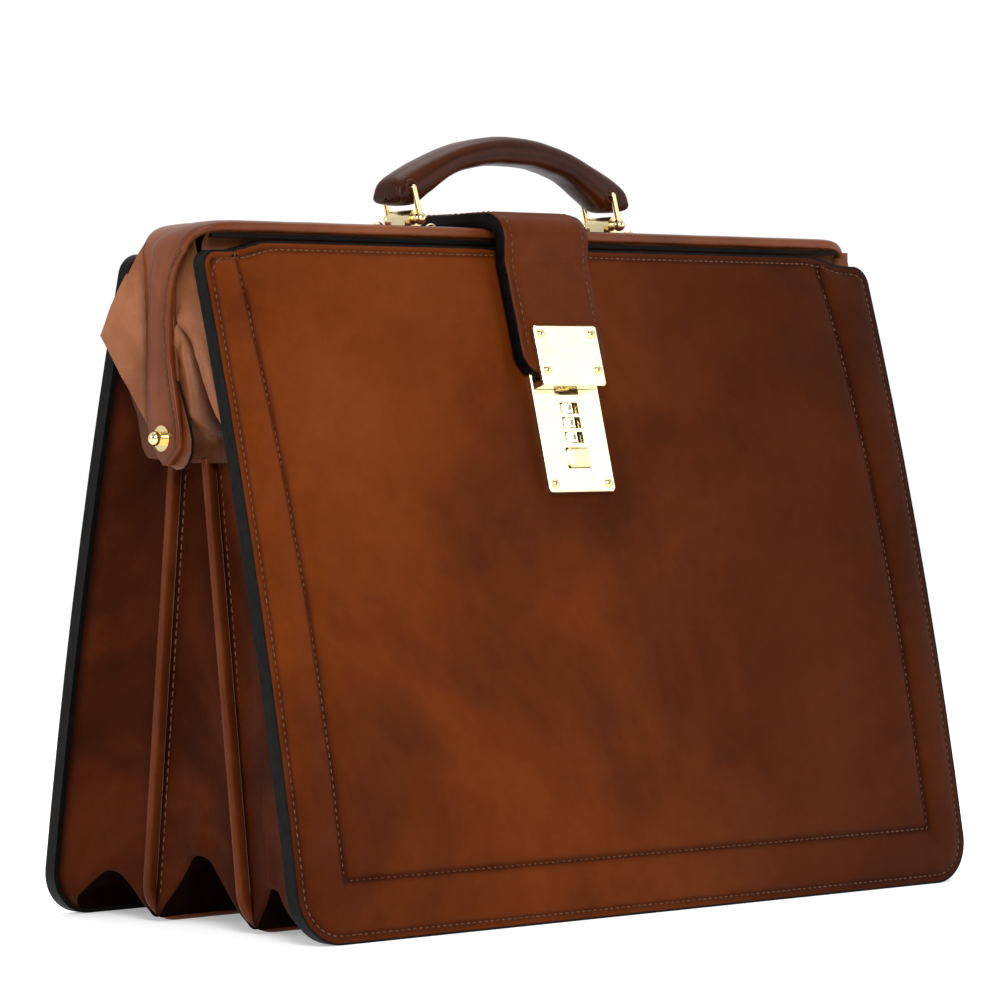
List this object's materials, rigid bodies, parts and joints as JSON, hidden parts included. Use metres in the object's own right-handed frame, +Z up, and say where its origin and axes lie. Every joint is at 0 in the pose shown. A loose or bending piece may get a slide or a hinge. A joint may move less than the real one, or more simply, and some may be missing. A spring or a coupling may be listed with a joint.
{
  "type": "leather briefcase",
  "caption": "Framed leather briefcase with accordion gusset, dividers, hinged jaw frame, padded swinging handle, closing strap and combination lock",
  "frame": {"origin": "centre of the floor under the bag, at the bottom of the bounding box", "axes": "+X right seen from the front, +Y from the front panel with the lock to the back panel, +Z up"},
  "size_m": [0.4652, 0.2114, 0.3913],
  "materials": {
    "panel_leather": "glossy smooth",
    "strap_leather": "glossy smooth",
    "frame_leather": "glossy smooth",
    "black_edge": "painted edge",
    "lining": "matt",
    "bead_leather": "glossy smooth",
    "gusset_leather": "satin",
    "wing_leather": "satin, soft",
    "frame_steel": "plain",
    "brass": "polished",
    "dial_metal": "polished, knurled",
    "button_brass": "polished",
    "handle_leather": "glossy smooth"
  },
  "bodies": {
    "gusset_core": {"back_divider": "lining", "back_bead": "bead_leather", "front_divider": "lining", "front_bead": "bead_leather", "gusset_middle": "gusset_leather", "gusset_front": "gusset_leather", "gusset_back": "gusset_leather"},
    "front_panel_body": {"front_panel": "panel_leather", "front_binding": "black_edge", "front_lining": "lining", "wing_front_left": "wing_leather", "wing_front_right": "wing_leather", "lock_base": "brass", "lock_body": "brass", "lock_rivets": "brass", "dial_shaft": "brass"},
    "back_panel_body": {"back_panel": "panel_leather", "back_binding": "black_edge", "back_lining": "lining", "wing_back_left": "wing_leather", "wing_back_right": "wing_leather", "strap_tail": "strap_leather"},
    "front_jaw_body": {"front_jaw": "frame_leather", "front_jaw_steel": "frame_steel", "hinge_rivets": "brass"},
    "back_jaw_body": {"back_jaw": "frame_leather", "back_jaw_steel": "frame_steel", "strap_base": "strap_leather", "handle_plates": "brass", "handle_saddles": "brass", "handle_screws": "brass"},
    "strap_top_body": {"strap_top": "strap_leather"},
    "strap_end_body": {"strap_end": "strap_leather", "hasp_plate": "brass", "hasp_rivets": "brass", "hasp_tongue": "brass"},
    "ring_left_body": {"ring_left": "brass"},
    "ring_right_body": {"ring_right": "brass"},
    "handle_body": {"handle_grip": "handle_leather"},
    "dial_1_body": {"lock_dial_1": "dial_metal"},
    "dial_2_body": {"lock_dial_2": "dial_metal"},
    "dial_3_body": {"lock_dial_3": "dial_metal"},
    "button_body": {"lock_button": "button_brass"},
    "bolt_body": {"lock_bolt": "brass"}
  },
  "joints": [
    {"name": "mouth_open", "type": "hinge", "parent": "front_panel_body", "child": "front_jaw_body", "pos_m": [0, -0.028, 0.335], "axis": [1, 0, 0], "range_deg": [0, 13.5]},
    {"name": "front_panel_tilt", "type": "hinge", "parent": "gusset_core", "child": "front_panel_body", "pos_m": [0, -0.1057, 0], "axis": [1, 0, 0], "range_deg": [0, 5]},
    {"name": "back_panel_tilt", "type": "hinge", "parent": "gusset_core", "child": "back_panel_body", "pos_m": [0, 0.1057, 0], "axis": [-1, 0, 0], "range_deg": [0, 5]},
    {"name": "back_jaw_tilt", "type": "hinge", "parent": "back_panel_body", "child": "back_jaw_body", "pos_m": [0, 0.028, 0.335], "axis": [-1, 0, 0], "range_deg": [0, 13.6]},
    {"name": "strap_lift", "type": "hinge", "parent": "back_jaw_body", "child": "strap_top_body", "pos_m": [-0.014, -0.0036, 0.3514], "axis": [-1, 0, 0], "range_deg": [0, 36]},
    {"name": "strap_unbend", "type": "hinge", "parent": "strap_top_body", "child": "strap_end_body", "pos_m": [-0.014, -0.03425, 0.34255], "axis": [-1, 0, 0], "range_deg": [0, 89]},
    {"name": "handle_swing", "type": "hinge", "parent": "back_jaw_body", "child": "ring_left_body", "pos_m": [-0.0705, 0.002, 0.3476], "axis": [0, 1, 0], "range_deg": [-18, 46]},
    {"name": "handle_left_eye", "type": "hinge", "parent": "ring_left_body", "child": "handle_body", "pos_m": [-0.07464, 0.002, 0.36306], "axis": [0, 1, 0], "range_deg": [-47, 19]},
    {"name": "ring_right_swing", "type": "hinge", "parent": "back_jaw_body", "child": "ring_right_body", "pos_m": [0.0645, 0.002, 0.3476], "axis": [0, 1, 0], "range_deg": [-19, 47]},
    {"name": "dial_1_turn", "type": "hinge", "parent": "front_panel_body", "child": "dial_1_body", "pos_m": [-0.014, -0.0544, 0.25065], "axis": [0, 0.2485, 0.9686], "continuous": true},
    {"name": "dial_2_turn", "type": "hinge", "parent": "front_panel_body", "child": "dial_2_body", "pos_m": [-0.014, -0.05629, 0.24329], "axis": [0, 0.2485, 0.9686], "continuous": true},
    {"name": "dial_3_turn", "type": "hinge", "parent": "front_panel_body", "child": "dial_3_body", "pos_m": [-0.014, -0.05818, 0.23593], "axis": [0, 0.2485, 0.9686], "continuous": true},
    {"name": "button_press", "type": "slide", "parent": "front_panel_body", "child": "button_body", "axis": [0, 0.9686, -0.2485], "range_m": [0, 0.002], "stiffness_N_per_m": 150, "springref_m": -0.002},
    {"name": "bolt_slide", "type": "slide", "parent": "front_panel_body", "child": "bolt_body", "axis": [-1, 0, 0], "range_m": [0, 0.00121]}
  ],
  "couplings": [
    {"joint": "front_panel_tilt", "follows": "mouth_open", "ratio": 0.364},
    {"joint": "back_panel_tilt", "follows": "mouth_open", "ratio": 0.364},
    {"joint": "back_jaw_tilt", "follows": "mouth_open", "ratio": 1},
    {"joint": "strap_lift", "follows": "mouth_open", "ratio": 2.6},
    {"joint": "strap_unbend", "follows": "mouth_open", "ratio": 6.5},
    {"joint": "handle_left_eye", "follows": "handle_swing", "ratio": -1},
    {"joint": "ring_right_swing", "follows": "handle_swing", "ratio": 1},
    {"joint": "bolt_slide", "follows": "button_press", "ratio": 0.6}
  ]
}
